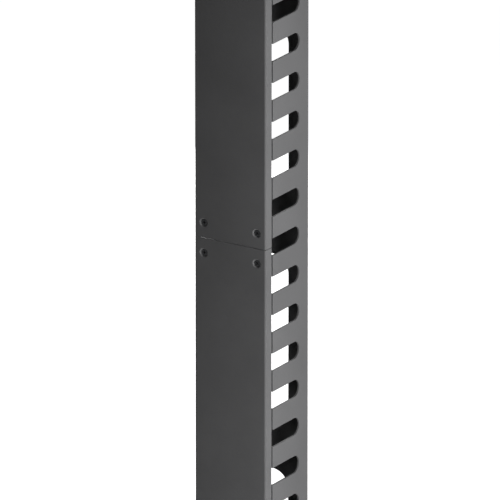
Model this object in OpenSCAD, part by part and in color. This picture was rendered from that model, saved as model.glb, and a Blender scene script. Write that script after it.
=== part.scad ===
// Vertical cable manager for a rack: one folded steel channel with open finger slots
// down both sides and cable cut-outs in its back, closed by two screwed covers.
// Millimetres. The origin is the middle of the channel's back face, which lies
// against the rack. -Y is the front with the covers, +Z is up.

/* [Rack] */
// Height of one rack unit, which is also the pitch of the fingers
unit_h = 44.45; // [40:0.05:50]
// Rack units behind each of the two covers
cover_units = 12; // [9:1:20]

/* [Channel] */
// Width over the two side walls, and over the covers, which lie flush with them
channel_w = 92; // [80:1:144]
// Depth from the back face to the front of the finger tabs
channel_d = 84; // [60:1:140]
// Sheet thickness of the channel
channel_t = 2; // [1.5:0.1:2.5]
// Inside radius of the channel's folds
channel_fold_r = 1; // [0.5:0.1:2]
// Width of the tab folded inwards at each finger tip
tab_w = 17; // [15:0.5:20]
// Radius of the free corners of a tab
tab_corner_r = 4; // [1:0.5:6]
// Outside radius of the step that sets each finger tip in behind a lip
step_r = 0.4; // [0.3:0.1:1.5]

/* [Finger slots] */
// Height of the slot between two fingers
slot_h = 20; // [12:0.5:20]
// Solid web between the round end of a slot and the back face
slot_web = 20; // [8:0.5:30]

/* [Back cut-outs] */
// Width of a cable cut-out, which is also the diameter of its round ends
cutout_w = 41; // [20:1:50]
// Length of a cable cut-out
cutout_l = 190; // [100:1:220]
// Solid back between the two cut-outs nearest the middle
middle_bridge = 75; // [30:1:100]
// Solid back between two cut-outs in the same half
cutout_bridge = 61; // [30:0.5:100]
// Least solid back left at each end of the channel
end_bridge = 40; // [34:1:60]

/* [Rack fixing slots] */
// Width of a fixing slot, for an M6 screw
fixing_w = 7; // [6.5:0.1:9]
// Length of a fixing slot from end to end
fixing_l = 16; // [10:1:18]
// Distance between the two columns of fixing slots
fixing_spacing = 40; // [30:1:44]

/* [Covers] */
// Sheet thickness of the covers
cover_t = 1.5; // [1:0.1:2]
// Inside radius of the covers' folds
cover_fold_r = 1; // [0.5:0.1:2]
// Depth of the lips that reach back over the finger tips
lip_d = 11.5; // [10:0.5:20]
// Gap between a lip and the finger tips beside it
lip_gap = 0.5; // [0.3:0.1:1]
// Gap between the rear edge of a lip and the step in the fingers behind it
step_gap = 2.6; // [1:0.1:4]
// Gap between the two covers where they meet
seam_gap = 0.6; // [0.4:0.1:2]

/* [Cover screws] */
// Diameter of the screw thread
screw_d = 4; // [3:0.5:5]
// Length of the screw under the top of its head
screw_l = 12; // [12:1:20]
// Diameter of the countersunk head
head_d = 8; // [7.5:0.1:9]
// Flat rim of the head before its cone begins
head_rim = 0.3; // [0.1:0.1:0.5]
// How far the head lies below the front of the cover
head_sink = 1.3; // [0.5:0.1:1.6]
// Distance from the screw to the nearest end of its cover
screw_end = 17; // [15:0.5:18]
// Distance from the screw to the free edge of the tab behind it
screw_inset = 7; // [6:0.5:8]
// Length of each arm of the cross recess
recess_l = 2.2; // [1.5:0.1:2.5]
// Width of each arm of the cross recess
recess_w = 0.9; // [0.6:0.1:1.2]
// Depth of the cross recess
recess_depth = 1.6; // [1:0.1:2]

/* [Retainers and nuts] */
// Thickness of the ring that keeps a loose screw in its cover
retainer_t = 0.8; // [0.5:0.1:1.5]
// Outside diameter of that ring
retainer_d = 9; // [8:0.5:10]
// Diameter of the body of a clinch nut
nut_d = 8; // [7:0.5:10]
// Height of the body of a clinch nut
nut_h = 3; // [2:0.5:5]
// Diameter of the clinch nut's shank, pressed into the tab
nut_shank_d = 5.6; // [5.4:0.1:6.5]

/* [Fits] */
// Clearance all round the screw in its cover
screw_play = 0.2; // [0.1:0.05:0.4]
// Clearance all round the screw in its nut and its retainer
thread_play = 0.075; // [0.05:0.005:0.1]
// Clearance all round the clinch nut's shank in the tab
nut_play = 0.03; // [0.02:0.01:0.1]
// Gap left between a retainer and the tab that it sits on
seat_gap = 0.2; // [0.1:0.05:0.5]

/* [Hidden] */
$fn = 64;
// Overshoot of a cutter past the face that it cuts
over = 1;

half_l = cover_units * unit_h;
channel_r = channel_fold_r + channel_t;
cover_r = cover_fold_r + cover_t;
// Width over the finger tips, which are set in by the lips and their gap
tip_w = channel_w - 2 * (lip_gap + cover_t);
mouth_w = tip_w - 2 * tab_w;

// The dimple is pressed back into the cover, with the same slope as the screw head.
hole_r = screw_d / 2 + screw_play;
dimple_r = head_d / 2 + head_sink;
dimple_h = dimple_r - hole_r;
dimple_floor = 0.5;
dimple_wall = cover_t * 0.8;
head_play = 0.05;

// Depths behind the front of the covers
retainer_y = dimple_h + dimple_floor;
tab_y = retainer_y + retainer_t + seat_gap;
front_y = -channel_d - tab_y;
// Depth of the side walls from the back face to the step
wall_d = channel_d + tab_y - lip_d - step_gap;

screw_x = tip_w / 2 - tab_w + screw_inset;
cutout_pitch = cutout_l + cutout_bridge;
cutouts_per_half = floor((half_l - middle_bridge / 2 - end_bridge + cutout_bridge) / cutout_pitch);
fixing_z = half_l - unit_h / 2;

HALVES = [["lower", -1], ["upper", 1]];
SIDES = [["left", -1], ["right", 1]];
// Screw rows of one half: the one beside the seam and the one at the channel's end
ROWS = [["seam", screw_end + seam_gap / 2], ["end", half_l - screw_end]];
FASTENERS = ["screw", "retainer", "nut"];

function fastener_name(half, kind, row, side) = str(half[0], "_", kind, "_", row[0], "_", side[0]);

// Rectangle with round corners, centred on X, from y = 0 back to y = d
module round_rect(w, d, r) {
    translate([-w / 2 + r, 0]) square([w - 2 * r, d]);
    translate([-w / 2, r]) square([w, d - 2 * r]);
    for (x = [-1, 1], y = [r, d - r]) translate([x * (w / 2 - r), y]) circle(r);
}

// Slot with round ends, centred, l long in all and w wide
module obround(l, w) {
    square([l - w, w], center = true);
    for (x = [-1, 1]) translate([x * (l - w) / 2, 0]) circle(d = w);
}

// Turns a flat shape so that its x and y lie along X and Z, and cuts from y0 back by depth
module cut_back(y0, depth) {
    translate([0, y0 + depth, 0]) rotate([90, 0, 0]) linear_extrude(depth) children();
}

// Places something drawn along +Z so that it points back from the cover's front
module at_screw(half, row, side) {
    translate([side[1] * screw_x, front_y, half[1] * row[1]]) rotate([-90, 0, 0]) children();
}

// Cross-section of the channel: back, two walls, a step that sets each finger tip in,
// and a tab turned in at each front corner
module channel_profile() {
    difference() {
        union() {
            translate([0, -channel_d]) round_rect(tip_w, channel_d, channel_r);
            translate([0, -wall_d]) round_rect(channel_w, wall_d, channel_r);
            translate([0, -wall_d]) round_rect(channel_w, wall_d / 2, step_r);
        }
        translate([0, channel_t - channel_d])
            round_rect(tip_w - 2 * channel_t, channel_d - 2 * channel_t, channel_fold_r);
        translate([0, channel_t - wall_d])
            round_rect(channel_w - 2 * channel_t, wall_d - 2 * channel_t, channel_fold_r);
        translate([-mouth_w / 2, -channel_d - over]) square([mouth_w, channel_t + 2 * over]);
    }
}

// One finger slot seen from the side: round at the back and open at the front
module finger_slot() {
    end_y = -slot_web - slot_h / 2;
    translate([end_y, 0]) circle(d = slot_h);
    translate([-channel_d - over, -slot_h / 2]) square([channel_d + over + end_y, slot_h]);
}

// What is cut from a square tab corner to round it, with the corner at the origin
module corner_chip(r) {
    difference() {
        translate([-over, -over]) square(r + over);
        translate([r, r]) circle(r);
        translate([r, -2 * over]) square([over, r + 3 * over]);
    }
}

// Rounds both free corners of the tabs at height z, above it (up = 1) or below it (up = -1)
module tab_corners(z, up) {
    for (side = SIDES) translate([side[1] * mouth_w / 2, z]) scale([side[1], up]) corner_chip(tab_corner_r);
}

module channel() color([0.2, 0.2, 0.21]) {
    slots = cover_units - 1;
    difference() {
        translate([0, 0, -half_l]) linear_extrude(2 * half_l) channel_profile();
        rotate([90, 0, 90]) linear_extrude(channel_w + 2 * over, center = true)
            for (i = [-slots:slots]) translate([0, i * unit_h]) finger_slot();
        cut_back(-channel_d - over, channel_t + 2 * over) {
            for (i = [-slots:slots], up = [-1, 1]) tab_corners(i * unit_h + up * slot_h / 2, up);
            for (up = [-1, 1]) tab_corners(up * half_l, -up);
            for (half = HALVES, row = ROWS, side = SIDES)
                translate([side[1] * screw_x, half[1] * row[1]]) circle(nut_shank_d / 2 + nut_play);
        }
        cut_back(-channel_t - over, channel_t + 2 * over) {
            for (half = HALVES, i = [0:1:cutouts_per_half - 1])
                translate([0, half[1] * (middle_bridge / 2 + cutout_l / 2 + i * cutout_pitch)])
                    rotate(90) obround(cutout_l, cutout_w);
            for (half = HALVES, side = SIDES)
                translate([side[1] * fixing_spacing / 2, half[1] * fixing_z]) obround(fixing_l, fixing_w);
        }
    }
}

// Cross-section of a cover: flat front with a lip folded back along each side
module cover_profile() {
    intersection() {
        difference() {
            round_rect(channel_w, 2 * lip_d, cover_r);
            translate([0, cover_t])
                round_rect(channel_w - 2 * cover_t, 2 * (lip_d - cover_t), cover_fold_r);
        }
        translate([-channel_w / 2, 0]) square([channel_w, lip_d]);
    }
}

module cover(half) color([0.17, 0.17, 0.18]) {
    low = half[1] > 0 ? seam_gap / 2 : -half_l;
    difference() {
        union() {
            translate([0, front_y, low]) linear_extrude(half_l - seam_gap / 2) cover_profile();
            for (row = ROWS, side = SIDES) at_screw(half, row, side)
                translate([0, 0, cover_t - dimple_wall])
                    cylinder(h = retainer_y - cover_t + dimple_wall,
                             r1 = dimple_r + dimple_wall / 2, r2 = hole_r + dimple_wall);
        }
        for (row = ROWS, side = SIDES) at_screw(half, row, side) {
            cylinder(h = dimple_h, r1 = dimple_r, r2 = hole_r);
            translate([0, 0, -over]) cylinder(h = over + retainer_y + over, r = hole_r);
        }
    }
}

// Countersunk screw with a cross recess
module screw() color([0.1, 0.1, 0.1]) {
    translate([0, 0, head_sink - head_play]) difference() {
        union() {
            cylinder(h = head_rim, d = head_d - 2 * head_rim);
            translate([0, 0, head_rim])
                cylinder(h = (head_d - screw_d) / 2 - head_rim, r1 = head_d / 2 - head_rim, r2 = screw_d / 2);
            cylinder(h = screw_l, d = screw_d);
        }
        for (turn = [0, 90]) rotate(turn) translate([-recess_l, -recess_w / 2, -over])
            cube([2 * recess_l, recess_w, over + recess_depth]);
    }
}

module retainer() color([0.85, 0.85, 0.82]) {
    translate([0, 0, retainer_y]) difference() {
        cylinder(h = retainer_t, d = retainer_d);
        translate([0, 0, -over]) cylinder(h = retainer_t + 2 * over, r = screw_d / 2 + thread_play);
    }
}

// Clinch nut: its shank sits in the tab and its round body behind it
module nut() color([0.75, 0.75, 0.78]) {
    difference() {
        union() {
            translate([0, 0, tab_y + channel_t]) cylinder(h = nut_h, d = nut_d);
            translate([0, 0, tab_y + channel_t / 4]) cylinder(h = channel_t, d = nut_shank_d);
        }
        cylinder(h = tab_y + channel_t + nut_h + over, r = screw_d / 2 + thread_play);
    }
}

channel();
for (half = HALVES) cover(half);
for (half = HALVES, row = ROWS, side = SIDES) {
    at_screw(half, row, side) screw();
    at_screw(half, row, side) retainer();
    at_screw(half, row, side) nut();
}
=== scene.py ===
"""Looks of a vertical cable manager: a folded finger channel closed by two screwed covers."""

import itertools
import math

import bmesh
import bpy
import numpy as np
from mathutils import Matrix, Vector


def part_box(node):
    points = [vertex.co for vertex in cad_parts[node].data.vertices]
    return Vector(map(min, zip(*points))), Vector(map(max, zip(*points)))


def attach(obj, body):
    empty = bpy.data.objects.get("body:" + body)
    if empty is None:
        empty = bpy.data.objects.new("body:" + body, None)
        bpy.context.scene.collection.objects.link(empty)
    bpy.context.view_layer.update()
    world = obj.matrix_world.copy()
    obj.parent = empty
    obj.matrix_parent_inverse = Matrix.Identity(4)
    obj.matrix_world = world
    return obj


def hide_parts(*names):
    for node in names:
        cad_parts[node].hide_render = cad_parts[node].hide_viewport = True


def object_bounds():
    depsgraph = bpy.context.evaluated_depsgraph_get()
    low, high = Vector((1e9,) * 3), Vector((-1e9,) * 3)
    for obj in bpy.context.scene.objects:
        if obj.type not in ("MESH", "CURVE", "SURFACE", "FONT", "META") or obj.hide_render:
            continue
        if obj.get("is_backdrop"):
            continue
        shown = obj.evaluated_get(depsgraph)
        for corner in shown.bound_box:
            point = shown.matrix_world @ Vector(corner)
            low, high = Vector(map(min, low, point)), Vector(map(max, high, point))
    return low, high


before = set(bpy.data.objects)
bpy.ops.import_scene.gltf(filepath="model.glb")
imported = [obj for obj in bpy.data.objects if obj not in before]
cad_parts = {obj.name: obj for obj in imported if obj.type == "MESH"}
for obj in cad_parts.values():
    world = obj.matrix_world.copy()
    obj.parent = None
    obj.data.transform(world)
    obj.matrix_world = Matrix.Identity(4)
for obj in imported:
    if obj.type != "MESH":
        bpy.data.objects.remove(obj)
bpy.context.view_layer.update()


# ---- The view ----------------------------------------------------------------------
# A long lens looks down from the front right at the seam between the two covers. The
# middle of the view is placed from the covers' front right corner at the seam.
VIEW_AZIMUTH = math.radians(32.21)
VIEW_ELEVATION = math.radians(19.49)
VIEW_LENS = 800
VIEW_DISTANCE = 12.058
MIDDLE_LEFT_OF_CORNER = 0.01731
MIDDLE_ABOVE_CORNER = 0.00074
CLIP_END = 80

seam_corner = Vector((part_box("upper_cover")[1].x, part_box("upper_cover")[0].y, 0))
to_viewer = Vector((math.sin(VIEW_AZIMUTH) * math.cos(VIEW_ELEVATION),
                    -math.cos(VIEW_AZIMUTH) * math.cos(VIEW_ELEVATION),
                    math.sin(VIEW_ELEVATION)))
view_right = Vector((math.cos(VIEW_AZIMUTH), math.sin(VIEW_AZIMUTH), 0))
view_up = to_viewer.cross(view_right)
view_middle = seam_corner - MIDDLE_LEFT_OF_CORNER * view_right + MIDDLE_ABOVE_CORNER * view_up

camera = bpy.data.objects.new("camera", bpy.data.cameras.new("camera"))
bpy.context.scene.collection.objects.link(camera)
camera.data.lens = VIEW_LENS
camera.data.clip_end = CLIP_END
camera.matrix_world = Matrix.Translation(view_middle + VIEW_DISTANCE * to_viewer) @ Matrix(
    (view_right, view_up, to_viewer)).transposed().to_4x4()
bpy.context.scene.camera = camera
bpy.context.scene.view_settings.view_transform = "Standard"


# ---- The studio --------------------------------------------------------------------
# A pale floor, a tall soft lamp close on the right, a weak one low in front and a tall one
# behind on the left. Seen directly or in a gloss, the air and the far floor are white, and
# the floor near the part is darker, so that it shows the shadow.
FLOOR_REACH = 20
FLOOR_GAP = 0.0005
FLOOR_GREY = 0.75
NEAR_GLOW = 0.62
NEAR_REACH, FAR_REACH = 0.2, 0.55
AIR_LIGHT = 0.03


def seen_directly(tree):
    """1 for rays from the camera, off a gloss or through glass, and 0 for the rest."""
    path = tree.nodes.new("ShaderNodeLightPath")
    total = path.outputs["Is Camera Ray"]
    for kind in ("Is Glossy Ray", "Is Transmission Ray"):
        either = tree.nodes.new("ShaderNodeMath")
        either.operation = "MAXIMUM"
        tree.links.new(total, either.inputs[0])
        tree.links.new(path.outputs[kind], either.inputs[1])
        total = either.outputs[0]
    return total


def studio_floor():
    """A flat square sheet just under the part's lowest point, with its own faint glow."""
    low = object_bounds()[0][2] - FLOOR_GAP
    corners = np.array([(-1, -1, 0), (1, -1, 0), (1, 1, 0), (-1, 1, 0)])
    corners = corners * FLOOR_REACH + (0, 0, low)
    mesh = bpy.data.meshes.new("studio_floor")
    mesh.from_pydata(corners, [], [(0, 1, 2, 3)])
    floor = bpy.data.objects.new("studio_floor", mesh)
    bpy.context.scene.collection.objects.link(floor)
    material = bpy.data.materials.new("pale_floor")
    material.use_nodes = True
    tree = material.node_tree
    shader = tree.nodes["Principled BSDF"]
    shader.inputs["Base Color"].default_value = (FLOOR_GREY, FLOOR_GREY, FLOOR_GREY, 1)
    shader.inputs["Roughness"].default_value = 0.9
    shader.inputs["Specular IOR Level"].default_value = 0
    shader.inputs["Emission Color"].default_value = (1, 1, 1, 1)
    place = tree.nodes.new("ShaderNodeTexCoord")
    flat = tree.nodes.new("ShaderNodeVectorMath")
    flat.operation = "MULTIPLY"
    flat.inputs[1].default_value = (1, 1, 0)
    away = tree.nodes.new("ShaderNodeVectorMath")
    away.operation = "LENGTH"
    glow = tree.nodes.new("ShaderNodeMapRange")
    glow.interpolation_type = "SMOOTHSTEP"
    glow.inputs["From Min"].default_value = NEAR_REACH
    glow.inputs["From Max"].default_value = FAR_REACH
    glow.inputs["To Min"].default_value = NEAR_GLOW
    glow.inputs["To Max"].default_value = 1
    shown = tree.nodes.new("ShaderNodeMath")
    shown.operation = "MULTIPLY"
    tree.links.new(place.outputs["Object"], flat.inputs[0])
    tree.links.new(flat.outputs["Vector"], away.inputs[0])
    tree.links.new(away.outputs["Value"], glow.inputs["Value"])
    tree.links.new(glow.outputs["Result"], shown.inputs[0])
    tree.links.new(seen_directly(tree), shown.inputs[1])
    tree.links.new(shown.outputs[0], shader.inputs["Emission Strength"])
    mesh.materials.append(material)
    floor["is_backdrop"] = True


def studio_air():
    """The world: white where it is seen, and a weak even light everywhere else."""
    world = bpy.data.worlds.new("studio_air")
    world.use_nodes = True
    bpy.context.scene.world = world
    tree = world.node_tree
    background = tree.nodes["Background"]
    background.inputs["Color"].default_value = (1, 1, 1, 1)
    strength = tree.nodes.new("ShaderNodeMapRange")
    strength.inputs["To Min"].default_value = AIR_LIGHT
    strength.inputs["To Max"].default_value = 1
    tree.links.new(seen_directly(tree), strength.inputs["Value"])
    tree.links.new(strength.outputs["Result"], background.inputs["Strength"])


def soft_lamp(name, place, aim, width, height, watts):
    """A rectangular lamp at place, turned to face aim."""
    data = bpy.data.lights.new(name, "AREA")
    data.shape = "RECTANGLE"
    data.size = width
    data.size_y = height
    data.energy = watts
    lamp = bpy.data.objects.new(name, data)
    bpy.context.scene.collection.objects.link(lamp)
    lamp.location = place
    lamp.rotation_euler = (Vector(aim) - Vector(place)).to_track_quat("-Z", "Y").to_euler()


studio_floor()
studio_air()
soft_lamp("side_lamp", (0.33, -0.145, 0.02), (0, -0.06, 0.02), 0.06, 1.1, 3.4)
soft_lamp("front_lamp", (0.2, -0.6, -0.5), (0, -0.09, -0.1), 0.2, 0.4, 1.42)
soft_lamp("rear_lamp", (-1.2, 1.2, 0.2), (0, -0.04, 0), 0.6, 1.5, 18)


# ---- Channel -----------------------------------------------------------------------
# One steel sheet, punched with finger slots, cut-outs and fixing slots and folded to a
# channel, then powder coated in dark grey. The coat rounds its punched edges a little
# and has a fine pebbled grain.
CHANNEL_ROUNDING = 0.0003
FOLD_ANGLE = math.radians(35)
FLAT_ANGLE = math.radians(0.5)
COAT_COLOR = (0.11, 0.11, 0.112)
COAT_GLOSS_LEVEL = 0.08
COAT_ROUGHNESS = 0.52
PEBBLE_SIZE = 0.0006
PEEL_SCALE = 420
PEEL_SHARE = 1.4
DRIFT_SCALE = 14
SPECKLE_SHARE = 0.25
COAT_RELIEF = 0.00004


def coat_grain_group():
    """Grain of a powder coat. Height is pebbles over a shallow, wider orange peel. Colour and
    roughness are the given ones times a shade that drifts by about a tenth over the sheet."""
    group = bpy.data.node_groups.new("coat_grain", "ShaderNodeTree")
    put = group.interface.new_socket
    put(name="Color", in_out="INPUT", socket_type="NodeSocketColor")
    put(name="Roughness", in_out="INPUT", socket_type="NodeSocketFloat")
    put(name="Pebble Size", in_out="INPUT", socket_type="NodeSocketFloat")
    put(name="Color", in_out="OUTPUT", socket_type="NodeSocketColor")
    put(name="Roughness", in_out="OUTPUT", socket_type="NodeSocketFloat")
    put(name="Height", in_out="OUTPUT", socket_type="NodeSocketFloat")
    add, link = group.nodes.new, group.links.new
    given, result, place = add("NodeGroupInput"), add("NodeGroupOutput"), add("ShaderNodeTexCoord")
    scale = add("ShaderNodeMath")
    scale.operation = "DIVIDE"
    scale.inputs[0].default_value = 1
    link(given.outputs["Pebble Size"], scale.inputs[1])
    pebbles = add("ShaderNodeTexVoronoi")
    pebbles.feature = "SMOOTH_F1"
    pebbles.inputs["Smoothness"].default_value = 0.7
    link(place.outputs["Object"], pebbles.inputs["Vector"])
    link(scale.outputs[0], pebbles.inputs["Scale"])
    peel = add("ShaderNodeTexNoise")
    peel.inputs["Scale"].default_value = PEEL_SCALE
    peel.inputs["Detail"].default_value = 1
    link(place.outputs["Object"], peel.inputs["Vector"])
    height = add("ShaderNodeMath")
    height.operation = "MULTIPLY_ADD"
    height.inputs[1].default_value = PEEL_SHARE
    link(peel.outputs["Fac"], height.inputs[0])
    link(pebbles.outputs["Distance"], height.inputs[2])
    link(height.outputs[0], result.inputs["Height"])
    drift = add("ShaderNodeTexNoise")
    drift.inputs["Scale"].default_value = DRIFT_SCALE
    drift.inputs["Detail"].default_value = 6
    link(place.outputs["Object"], drift.inputs["Vector"])
    speckle = add("ShaderNodeMath")
    speckle.operation = "MULTIPLY_ADD"
    speckle.inputs[1].default_value = SPECKLE_SHARE
    link(pebbles.outputs["Distance"], speckle.inputs[0])
    link(drift.outputs["Fac"], speckle.inputs[2])
    shade = add("ShaderNodeMapRange")
    shade.inputs["From Min"].default_value = 0.4
    shade.inputs["From Max"].default_value = 0.8
    shade.inputs["To Min"].default_value = 0.92
    shade.inputs["To Max"].default_value = 1.08
    link(speckle.outputs[0], shade.inputs["Value"])
    tint = add("ShaderNodeVectorMath")
    tint.operation = "SCALE"
    link(given.outputs["Color"], tint.inputs[0])
    link(shade.outputs["Result"], tint.inputs["Scale"])
    link(tint.outputs["Vector"], result.inputs["Color"])
    rough = add("ShaderNodeMath")
    rough.operation = "MULTIPLY"
    link(given.outputs["Roughness"], rough.inputs[0])
    link(shade.outputs["Result"], rough.inputs[1])
    link(rough.outputs[0], result.inputs["Roughness"])
    return group


coat_grain = coat_grain_group()


def powder_coat(name, color):
    """Powder-coated steel: a satin grey whose colour, gloss and relief come from coat_grain."""
    material = bpy.data.materials.new(name)
    material.use_nodes = True
    tree = material.node_tree
    shader = tree.nodes["Principled BSDF"]
    shader.inputs["Specular IOR Level"].default_value = COAT_GLOSS_LEVEL
    grain = tree.nodes.new("ShaderNodeGroup")
    grain.node_tree = coat_grain
    grain.inputs["Color"].default_value = (*color, 1)
    grain.inputs["Roughness"].default_value = COAT_ROUGHNESS
    grain.inputs["Pebble Size"].default_value = PEBBLE_SIZE
    bump = tree.nodes.new("ShaderNodeBump")
    bump.inputs["Distance"].default_value = COAT_RELIEF
    tree.links.new(grain.outputs["Height"], bump.inputs["Height"])
    tree.links.new(grain.outputs["Color"], shader.inputs["Base Color"])
    tree.links.new(grain.outputs["Roughness"], shader.inputs["Roughness"])
    tree.links.new(bump.outputs["Normal"], shader.inputs["Normal"])
    return material


def coated_sheet(name, node, body, rounding, material):
    """A sheet part with softened edges, made from a copy of a CAD node's surface. Its doubles
    are merged, its flat areas joined, and each edge that turns by more than FOLD_ANGLE is
    rounded off by the given distance, while the flat areas keep their own normals."""
    surface = bmesh.new()
    surface.from_mesh(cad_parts[node].data)
    bmesh.ops.remove_doubles(surface, verts=surface.verts, dist=1e-6)
    bmesh.ops.dissolve_limit(surface, angle_limit=FLAT_ANGLE, verts=surface.verts,
                             edges=surface.edges)
    mesh = bpy.data.meshes.new(name)
    surface.to_mesh(mesh)
    surface.free()
    mesh.polygons.foreach_set("use_smooth", np.ones(len(mesh.polygons), dtype=bool))
    mesh.materials.clear()
    mesh.materials.append(material)
    piece = bpy.data.objects.new(name, mesh)
    bpy.context.scene.collection.objects.link(piece)
    bevel = piece.modifiers.new("edge_rounding", "BEVEL")
    bevel.width = rounding
    bevel.segments = 2
    bevel.limit_method = "ANGLE"
    bevel.angle_limit = FOLD_ANGLE
    level = piece.modifiers.new("level_faces", "WEIGHTED_NORMAL")
    level.mode = "FACE_AREA"
    level.weight = 100
    level.keep_sharp = True
    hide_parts(node)
    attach(piece, body)


dark_grey_coat = powder_coat("dark_grey_powder_coat", COAT_COLOR)
coated_sheet("finger_channel", "channel", "channel", CHANNEL_ROUNDING,
             dark_grey_coat)


# ---- Covers ------------------------------------------------------------------------
# Two thinner steel sheets, each with a lip folded back along both sides and four screw
# dimples pressed in, in the same powder coat as the channel.
COVER_ROUNDING = 0.00025

for half in ("lower", "upper"):
    coated_sheet(half + "_cover_sheet", half + "_cover", half + "_cover",
                 COVER_ROUNDING, dark_grey_coat)


# ---- Screws ------------------------------------------------------------------------
# Eight countersunk machine screws with a cross recess, cold headed and thread rolled from
# steel wire and plated in black zinc. Each sits in a dimple of its cover.
SPOKES = 64
HEAD_RINGS = (0.3, 0.6, 0.7, 0.85, 1, 1.2, 1.36, 1.6, 1.9, 2.1, 2.2, 2.26, 2.6, 3.1)
CROSS_REACH, CROSS_DEPTH, CROSS_FLOOR, CROSS_TOP = 2.2, 1.6, 0.40, 0.45
CROSS_EASE = 1.3
THREAD_FROM, THREAD_TO, SCREW_END = 2.4, 11.6, 12.0
THREAD_RADIUS = 1.98
THREAD_PITCH = 0.7
THREAD_CUT = 0.43
THREAD_STEEPNESS, THREAD_FLAT = 2.6, 0.15
THREAD_STEPS = 8
TIP_CHAMFER = 0.9
TIP_RADIUS = 0.95
TURN_BETWEEN_SCREWS = math.radians(137.5)
CREASE_ANGLE = math.radians(35)
BLACK_ZINC_COLOR = (0.018, 0.0185, 0.02)
BLACK_ZINC_METAL = 0.8
BLACK_ZINC_ROUGHNESS = 0.36
BLACK_ZINC_RELIEF = 0.000006
PLATING_GRAIN_SCALE, PLATING_CLOUD_SCALE = 5000, 700
PLATING_GRAIN_SHARE = 0.4

fixings = list(itertools.product(("lower", "upper"), ("seam", "end"), ("left", "right")))


def turned_piece(name, centre, front, radius, angle, depth, material, looped=False):
    """A closed surface about the front-to-back line through centre. Radius and depth are in
    millimetres, centre and front in metres. Row j and column k lie at radius times
    (cos angle, sin angle) across, and at depth behind front. The last column meets the first
    one. The first and last rows each close on a point on the line, or on each other where the
    piece is a looped ring."""
    radius, angle, depth = np.broadcast_arrays(radius, angle, depth)
    rows, columns = radius.shape
    points = np.stack((centre[0] + 0.001 * radius * np.cos(angle), front + 0.001 * depth,
                       centre[1] + 0.001 * radius * np.sin(angle)), axis=-1).reshape(-1, 3)
    row, column = np.meshgrid(np.arange(rows if looped else rows - 1), np.arange(columns),
                              indexing="ij")
    beside, behind = (column + 1) % columns, (row + 1) % rows
    faces = np.stack((row * columns + column, row * columns + beside, behind * columns + beside,
                      behind * columns + column), axis=-1).reshape(-1, 4).tolist()
    if not looped:
        points = np.vstack((points, (centre[0], front + 0.001 * depth[0].mean(), centre[1]),
                            (centre[0], front + 0.001 * depth[-1].mean(), centre[1])))
        first = np.arange(columns)
        last, apex = (rows - 1) * columns + first, rows * columns
        faces += np.stack((np.roll(first, -1), first, np.full(columns, apex)), axis=-1).tolist()
        faces += np.stack((last, np.roll(last, -1), np.full(columns, apex + 1)), axis=-1).tolist()
    mesh = bpy.data.meshes.new(name)
    mesh.from_pydata(points, [], faces)
    shell = bmesh.new()
    shell.from_mesh(mesh)
    bmesh.ops.recalc_face_normals(shell, faces=shell.faces)
    shell.to_mesh(mesh)
    shell.free()
    mesh.polygons.foreach_set("use_smooth", np.ones(len(mesh.polygons), dtype=bool))
    mesh.set_sharp_from_angle(angle=CREASE_ANGLE)
    mesh.materials.append(material)
    piece = bpy.data.objects.new(name, mesh)
    bpy.context.scene.collection.objects.link(piece)
    return piece


def thread_wave(depth, angle):
    """0 on a thread's crest and 1 in its groove: a triangle wave of depth over pitch, less
    the share of a turn, steepened by THREAD_STEEPNESS and with its tips cut flat."""
    turns = depth / THREAD_PITCH - angle / (2 * math.pi)
    return np.clip(THREAD_STEEPNESS * np.abs(turns % 1 - 0.5) - THREAD_FLAT, 0, 1)


def cross_recess(across, up):
    """Depth of the cross recess: each arm falls 2 to 1 from its tip to the floor, and its
    walls rise from the floor's half width CROSS_FLOOR to CROSS_TOP."""
    along = np.maximum(np.abs(across), np.abs(up))
    aside = np.minimum(np.abs(across), np.abs(up))
    floor = np.clip(2 * (CROSS_REACH - along), 0, CROSS_DEPTH)
    return floor * np.clip((CROSS_TOP - aside) / (CROSS_TOP - CROSS_FLOOR), 0, 1)


def head_angles(rings):
    """The pattern of 64 angles, as many as SPOKES, for each ring on the head. In each eighth
    turn the first five follow lines beside an arm at fixed distances from its middle, and the
    rest are even. Beyond the arms they all ease into even steps over a width of CROSS_EASE."""
    lines = np.array((0, 0.16, 0.32, CROSS_FLOOR, CROSS_TOP))
    limits = np.radians((0, 12, 25, 35, 40))
    near = np.minimum(np.arcsin(np.clip(lines / rings[:, None], 0, 1)), limits)
    rest = near[:, -1:] + (math.pi / 4 - near[:, -1:]) * np.arange(1, 4) / 4
    eighth = np.concatenate((near, rest), axis=1)
    corner = np.full((len(rings), 1), math.pi / 4)
    quarter = np.concatenate((eighth, corner, math.pi / 2 - eighth[:, :0:-1]), axis=1)
    followed = np.concatenate([quarter + turn * math.pi / 2 for turn in range(4)], axis=1)
    even = np.arange(SPOKES) * 2 * math.pi / SPOKES
    ease = np.clip((rings[:, None] - CROSS_REACH) / CROSS_EASE, 0, 1)
    return followed + (even - followed) * ease


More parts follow.
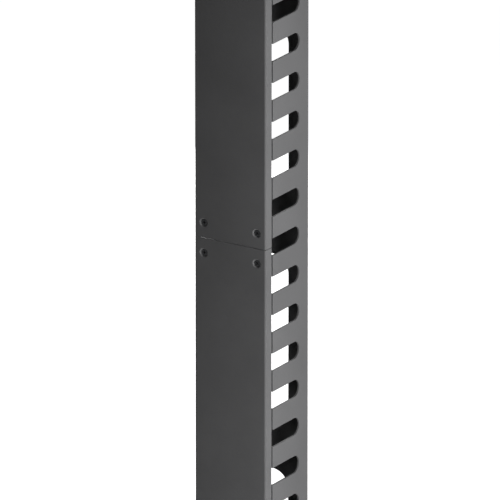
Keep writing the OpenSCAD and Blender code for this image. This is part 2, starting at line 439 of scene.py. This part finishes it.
def plating_group():
    """A thin plating on worked metal: fine grain over soft clouds, as height, and a tint and a
    gloss that drift with the clouds."""
    group = bpy.data.node_groups.new("plating", "ShaderNodeTree")
    put = group.interface.new_socket
    put(name="Color", in_out="INPUT", socket_type="NodeSocketColor")
    put(name="Roughness", in_out="INPUT", socket_type="NodeSocketFloat")
    put(name="Color", in_out="OUTPUT", socket_type="NodeSocketColor")
    put(name="Roughness", in_out="OUTPUT", socket_type="NodeSocketFloat")
    put(name="Height", in_out="OUTPUT", socket_type="NodeSocketFloat")
    add, link = group.nodes.new, group.links.new
    given, result, place = add("NodeGroupInput"), add("NodeGroupOutput"), add("ShaderNodeTexCoord")
    grain = add("ShaderNodeTexNoise")
    grain.inputs["Scale"].default_value = PLATING_GRAIN_SCALE
    grain.inputs["Detail"].default_value = 2
    clouds = add("ShaderNodeTexNoise")
    clouds.inputs["Scale"].default_value = PLATING_CLOUD_SCALE
    clouds.inputs["Detail"].default_value = 4
    link(place.outputs["Object"], grain.inputs["Vector"])
    link(place.outputs["Object"], clouds.inputs["Vector"])
    shade = add("ShaderNodeMapRange")
    shade.inputs["From Min"].default_value = 0.3
    shade.inputs["From Max"].default_value = 0.7
    shade.inputs["To Min"].default_value = 0.82
    shade.inputs["To Max"].default_value = 1.18
    link(clouds.outputs["Fac"], shade.inputs["Value"])
    tint = add("ShaderNodeVectorMath")
    tint.operation = "SCALE"
    link(given.outputs["Color"], tint.inputs[0])
    link(shade.outputs["Result"], tint.inputs["Scale"])
    link(tint.outputs["Vector"], result.inputs["Color"])
    rough = add("ShaderNodeMath")
    rough.operation = "MULTIPLY"
    link(given.outputs["Roughness"], rough.inputs[0])
    link(shade.outputs["Result"], rough.inputs[1])
    link(rough.outputs[0], result.inputs["Roughness"])
    height = add("ShaderNodeMath")
    height.operation = "MULTIPLY_ADD"
    height.inputs[1].default_value = PLATING_GRAIN_SHARE
    link(grain.outputs["Fac"], height.inputs[0])
    link(clouds.outputs["Fac"], height.inputs[2])
    link(height.outputs[0], result.inputs["Height"])
    return group


plating = plating_group()


def plated_metal(name, color, metal, roughness, relief):
    """Plated steel: a metal whose tint, gloss and relief come from the plating group."""
    material = bpy.data.materials.new(name)
    material.use_nodes = True
    tree = material.node_tree
    shader = tree.nodes["Principled BSDF"]
    shader.inputs["Metallic"].default_value = metal
    finish = tree.nodes.new("ShaderNodeGroup")
    finish.node_tree = plating
    finish.inputs["Color"].default_value = (*color, 1)
    finish.inputs["Roughness"].default_value = roughness
    bump = tree.nodes.new("ShaderNodeBump")
    bump.inputs["Distance"].default_value = relief
    tree.links.new(finish.outputs["Height"], bump.inputs["Height"])
    tree.links.new(finish.outputs["Color"], shader.inputs["Base Color"])
    tree.links.new(finish.outputs["Roughness"], shader.inputs["Roughness"])
    tree.links.new(bump.outputs["Normal"], shader.inputs["Normal"])
    return material


def machine_screw(name, node, turn, material):
    """A screw in the place of its CAD node: the recessed flat top, a rounded rim, the cone and
    the thread, as rings from the head's middle to the chamfered tip."""
    low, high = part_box(node)
    head = 500 * (high.x - low.x)
    top = np.array((*HEAD_RINGS, head - 0.2))
    top_angles = head_angles(top)
    top_radius = np.broadcast_to(top[:, None], top_angles.shape)
    top_depth = cross_recess(top_radius * np.cos(top_angles), top_radius * np.sin(top_angles))
    even = np.arange(SPOKES) * 2 * math.pi / SPOKES
    rim = np.array(((head - 0.08, 0.015), (head - 0.02, 0.06), (head, 0.12), (head, 0.25),
                    (head - 0.04, 0.34), (THREAD_RADIUS + 0.08, 1.94), (THREAD_RADIUS, 2.06)))
    run = np.arange(THREAD_FROM, SCREW_END, THREAD_PITCH / THREAD_STEPS)[:, None]
    chamfer = TIP_CHAMFER * np.clip((run - THREAD_TO) / (SCREW_END - THREAD_TO), 0, 1)
    cut = THREAD_CUT * np.clip((run - THREAD_FROM) / THREAD_PITCH, 0, 1)
    thread = THREAD_RADIUS - cut * thread_wave(run, even) - chamfer
    rim_radius, rim_depth = rim.T[:, :, None] + 0 * even
    tip = np.ones((1, SPOKES))
    radius = np.concatenate((top_radius, rim_radius, thread, TIP_RADIUS * tip))
    depth = np.concatenate((top_depth, rim_depth, run + 0 * even, SCREW_END * tip))
    angle = np.concatenate((top_angles, np.tile(even, (len(radius) - len(top), 1)))) + turn
    middle = (low + high) / 2
    piece = turned_piece(name, (middle.x, middle.z), low.y, radius, angle, depth, material)
    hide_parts(node)
    return piece


black_zinc = plated_metal("black_zinc_plating", BLACK_ZINC_COLOR, BLACK_ZINC_METAL,
                          BLACK_ZINC_ROUGHNESS, BLACK_ZINC_RELIEF)
for number, (half, end, side) in enumerate(fixings):
    screw = machine_screw(f"{half}_{end}_{side}_cover_screw", f"{half}_screw_{end}_{side}",
                          TURN_BETWEEN_SCREWS * number, black_zinc)
    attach(screw, half + "_cover")


# ---- Retaining rings ---------------------------------------------------------------
# Eight thin moulded nylon rings behind the covers. Six teeth on the inside of each grip the
# thread, so a screw that is undone stays in its cover.
NYLON_COLOR = (0.72, 0.70, 0.62)
NYLON_ROUGHNESS = 0.45
NYLON_RELIEF = 0.00001
NYLON_CLOUD_SCALE = 500
NYLON_CLOUD_SHADE = 0.88
NYLON_GLOSS_DRIFT = 0.08
RING_BORE = 2.08
RING_SPOKES = 96
TEETH = 6
TOOTH_HEIGHT = 0.4
TOOTH_TOP, TOOTH_STEEPNESS = 0.7, 2.2
RING_ROUNDING, RING_ROUNDING_MIDDLE = 0.15, 0.3


def nylon():
    """Natural nylon: milky and slightly see-through, with soft clouds in colour and gloss."""
    material = bpy.data.materials.new("natural_nylon_plastic")
    material.use_nodes = True
    tree = material.node_tree
    shader = tree.nodes["Principled BSDF"]
    shader.inputs["Subsurface Weight"].default_value = 0.15
    shader.inputs["Subsurface Radius"].default_value = (1, 0.9, 0.7)
    shader.inputs["Subsurface Scale"].default_value = 0.0008
    place = tree.nodes.new("ShaderNodeTexCoord")
    clouds = tree.nodes.new("ShaderNodeTexNoise")
    clouds.inputs["Scale"].default_value = NYLON_CLOUD_SCALE
    clouds.inputs["Detail"].default_value = 3
    milk = tree.nodes.new("ShaderNodeMix")
    milk.data_type = "RGBA"
    pale, dull = [socket for socket in milk.inputs if socket.type == "RGBA"]
    pale.default_value = (*NYLON_COLOR, 1)
    dull.default_value = (*(NYLON_CLOUD_SHADE * shade for shade in NYLON_COLOR), 1)
    gloss = tree.nodes.new("ShaderNodeMapRange")
    gloss.inputs["To Min"].default_value = NYLON_ROUGHNESS - NYLON_GLOSS_DRIFT
    gloss.inputs["To Max"].default_value = NYLON_ROUGHNESS + NYLON_GLOSS_DRIFT
    bump = tree.nodes.new("ShaderNodeBump")
    bump.inputs["Distance"].default_value = NYLON_RELIEF
    tree.links.new(place.outputs["Object"], clouds.inputs["Vector"])
    tree.links.new(clouds.outputs["Fac"], milk.inputs[0])
    tree.links.new(clouds.outputs["Fac"], gloss.inputs["Value"])
    tree.links.new(clouds.outputs["Fac"], bump.inputs["Height"])
    tree.links.new(next(socket for socket in milk.outputs if socket.type == "RGBA"),
                   shader.inputs["Base Color"])
    tree.links.new(gloss.outputs["Result"], shader.inputs["Roughness"])
    tree.links.new(bump.outputs["Normal"], shader.inputs["Normal"])
    return material


def retaining_ring(name, node, material):
    """A flat ring, run once around its section. Each corner is rounded by RING_ROUNDING, with
    one point in between at the share RING_ROUNDING_MIDDLE of it. The ring's inside lies at
    RING_BORE on a tooth, where the cosine of TEETH times the angle is over TOOTH_TOP, and
    TOOTH_HEIGHT further out between two teeth."""
    low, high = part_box(node)
    outside, thick, soft = 500 * (high.x - low.x), 1000 * (high.y - low.y), RING_ROUNDING
    angle = np.arange(RING_SPOKES) * 2 * math.pi / RING_SPOKES
    fall = np.clip(TOOTH_STEEPNESS * (TOOTH_TOP - np.cos(TEETH * angle)), 0, 1)
    inside = RING_BORE + TOOTH_HEIGHT * fall
    part = RING_ROUNDING_MIDDLE * soft
    inner = np.array(((soft, thick), (part, thick - part), (0, thick - soft), (0, soft),
                      (part, part), (soft, 0)))
    outer = inner[::-1]
    radius = np.concatenate((inside + inner[:, :1], outside - outer[:, :1] + 0 * inside))
    depth = np.concatenate((inner[:, 1:], outer[:, 1:]))
    middle = (low + high) / 2
    piece = turned_piece(name, (middle.x, middle.z), low.y, radius, angle, depth, material,
                         looped=True)
    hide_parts(node)
    return piece


milky_nylon = nylon()
for half, end, side in fixings:
    ring = retaining_ring(f"{half}_{end}_{side}_retaining_ring", f"{half}_retainer_{end}_{side}",
                          milky_nylon)
    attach(ring, half + "_cover")


# ---- Clinch nuts -------------------------------------------------------------------
# Eight round steel nuts, turned, tapped M4 and plated in bright zinc. The shank of each is
# pressed into its finger tab from behind.
NUT_BODY = 3.0
SHANK_RADIUS = 2.8
BORE_RADIUS = 2.08
GROOVE_CUT = 0.3
GROOVE_EASE = 0.4
SINK = 0.35
REAR_ROUNDING, REAR_ROUNDING_MIDDLE = 0.35, 0.1
SHOULDER_CHAMFER, SHANK_CHAMFER = 0.1, 0.15
BRIGHT_ZINC_COLOR = (0.62, 0.63, 0.65)
BRIGHT_ZINC_METAL = 1.0
BRIGHT_ZINC_ROUGHNESS = 0.3
BRIGHT_ZINC_RELIEF = 0.000004


def clinch_nut(name, node, material):
    """A nut, run once around its section: the tapped bore between two countersinks of depth
    SINK, the rear face, the body, the shoulder against the sheet and the shank."""
    low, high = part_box(node)
    outside, long = 500 * (high.x - low.x), 1000 * (high.y - low.y)
    angle = np.arange(SPOKES) * 2 * math.pi / SPOKES
    run = np.arange(SINK, long - SINK, THREAD_PITCH / THREAD_STEPS)[:, None]
    ease = np.clip(np.minimum(run - SINK, long - SINK - run) / GROOVE_EASE, 0, 1)
    bore = BORE_RADIUS + GROOVE_CUT * ease * (1 - thread_wave(run, angle))
    shoulder = long - NUT_BODY
    outline = np.array(((BORE_RADIUS, long - SINK), (BORE_RADIUS + SINK, long),
                        (outside - REAR_ROUNDING, long),
                        (outside - REAR_ROUNDING_MIDDLE, long - REAR_ROUNDING_MIDDLE),
                        (outside, long - REAR_ROUNDING), (outside, shoulder + SHOULDER_CHAMFER),
                        (outside - SHOULDER_CHAMFER, shoulder), (SHANK_RADIUS, shoulder),
                        (SHANK_RADIUS, SHANK_CHAMFER), (SHANK_RADIUS - SHANK_CHAMFER, 0),
                        (BORE_RADIUS + SINK, 0)))
    radius = np.concatenate((bore, outline[:, :1] + 0 * angle))
    depth = np.concatenate((run, outline[:, 1:]))
    middle = (low + high) / 2
    piece = turned_piece(name, (middle.x, middle.z), low.y, radius, angle, depth, material,
                         looped=True)
    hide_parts(node)
    return piece


bright_zinc = plated_metal("bright_zinc_plating", BRIGHT_ZINC_COLOR, BRIGHT_ZINC_METAL,
                           BRIGHT_ZINC_ROUGHNESS, BRIGHT_ZINC_RELIEF)
for half, end, side in fixings:
    nut = clinch_nut(f"{half}_{end}_{side}_clinch_nut", f"{half}_nut_{end}_{side}", bright_zinc)
    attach(nut, "channel")
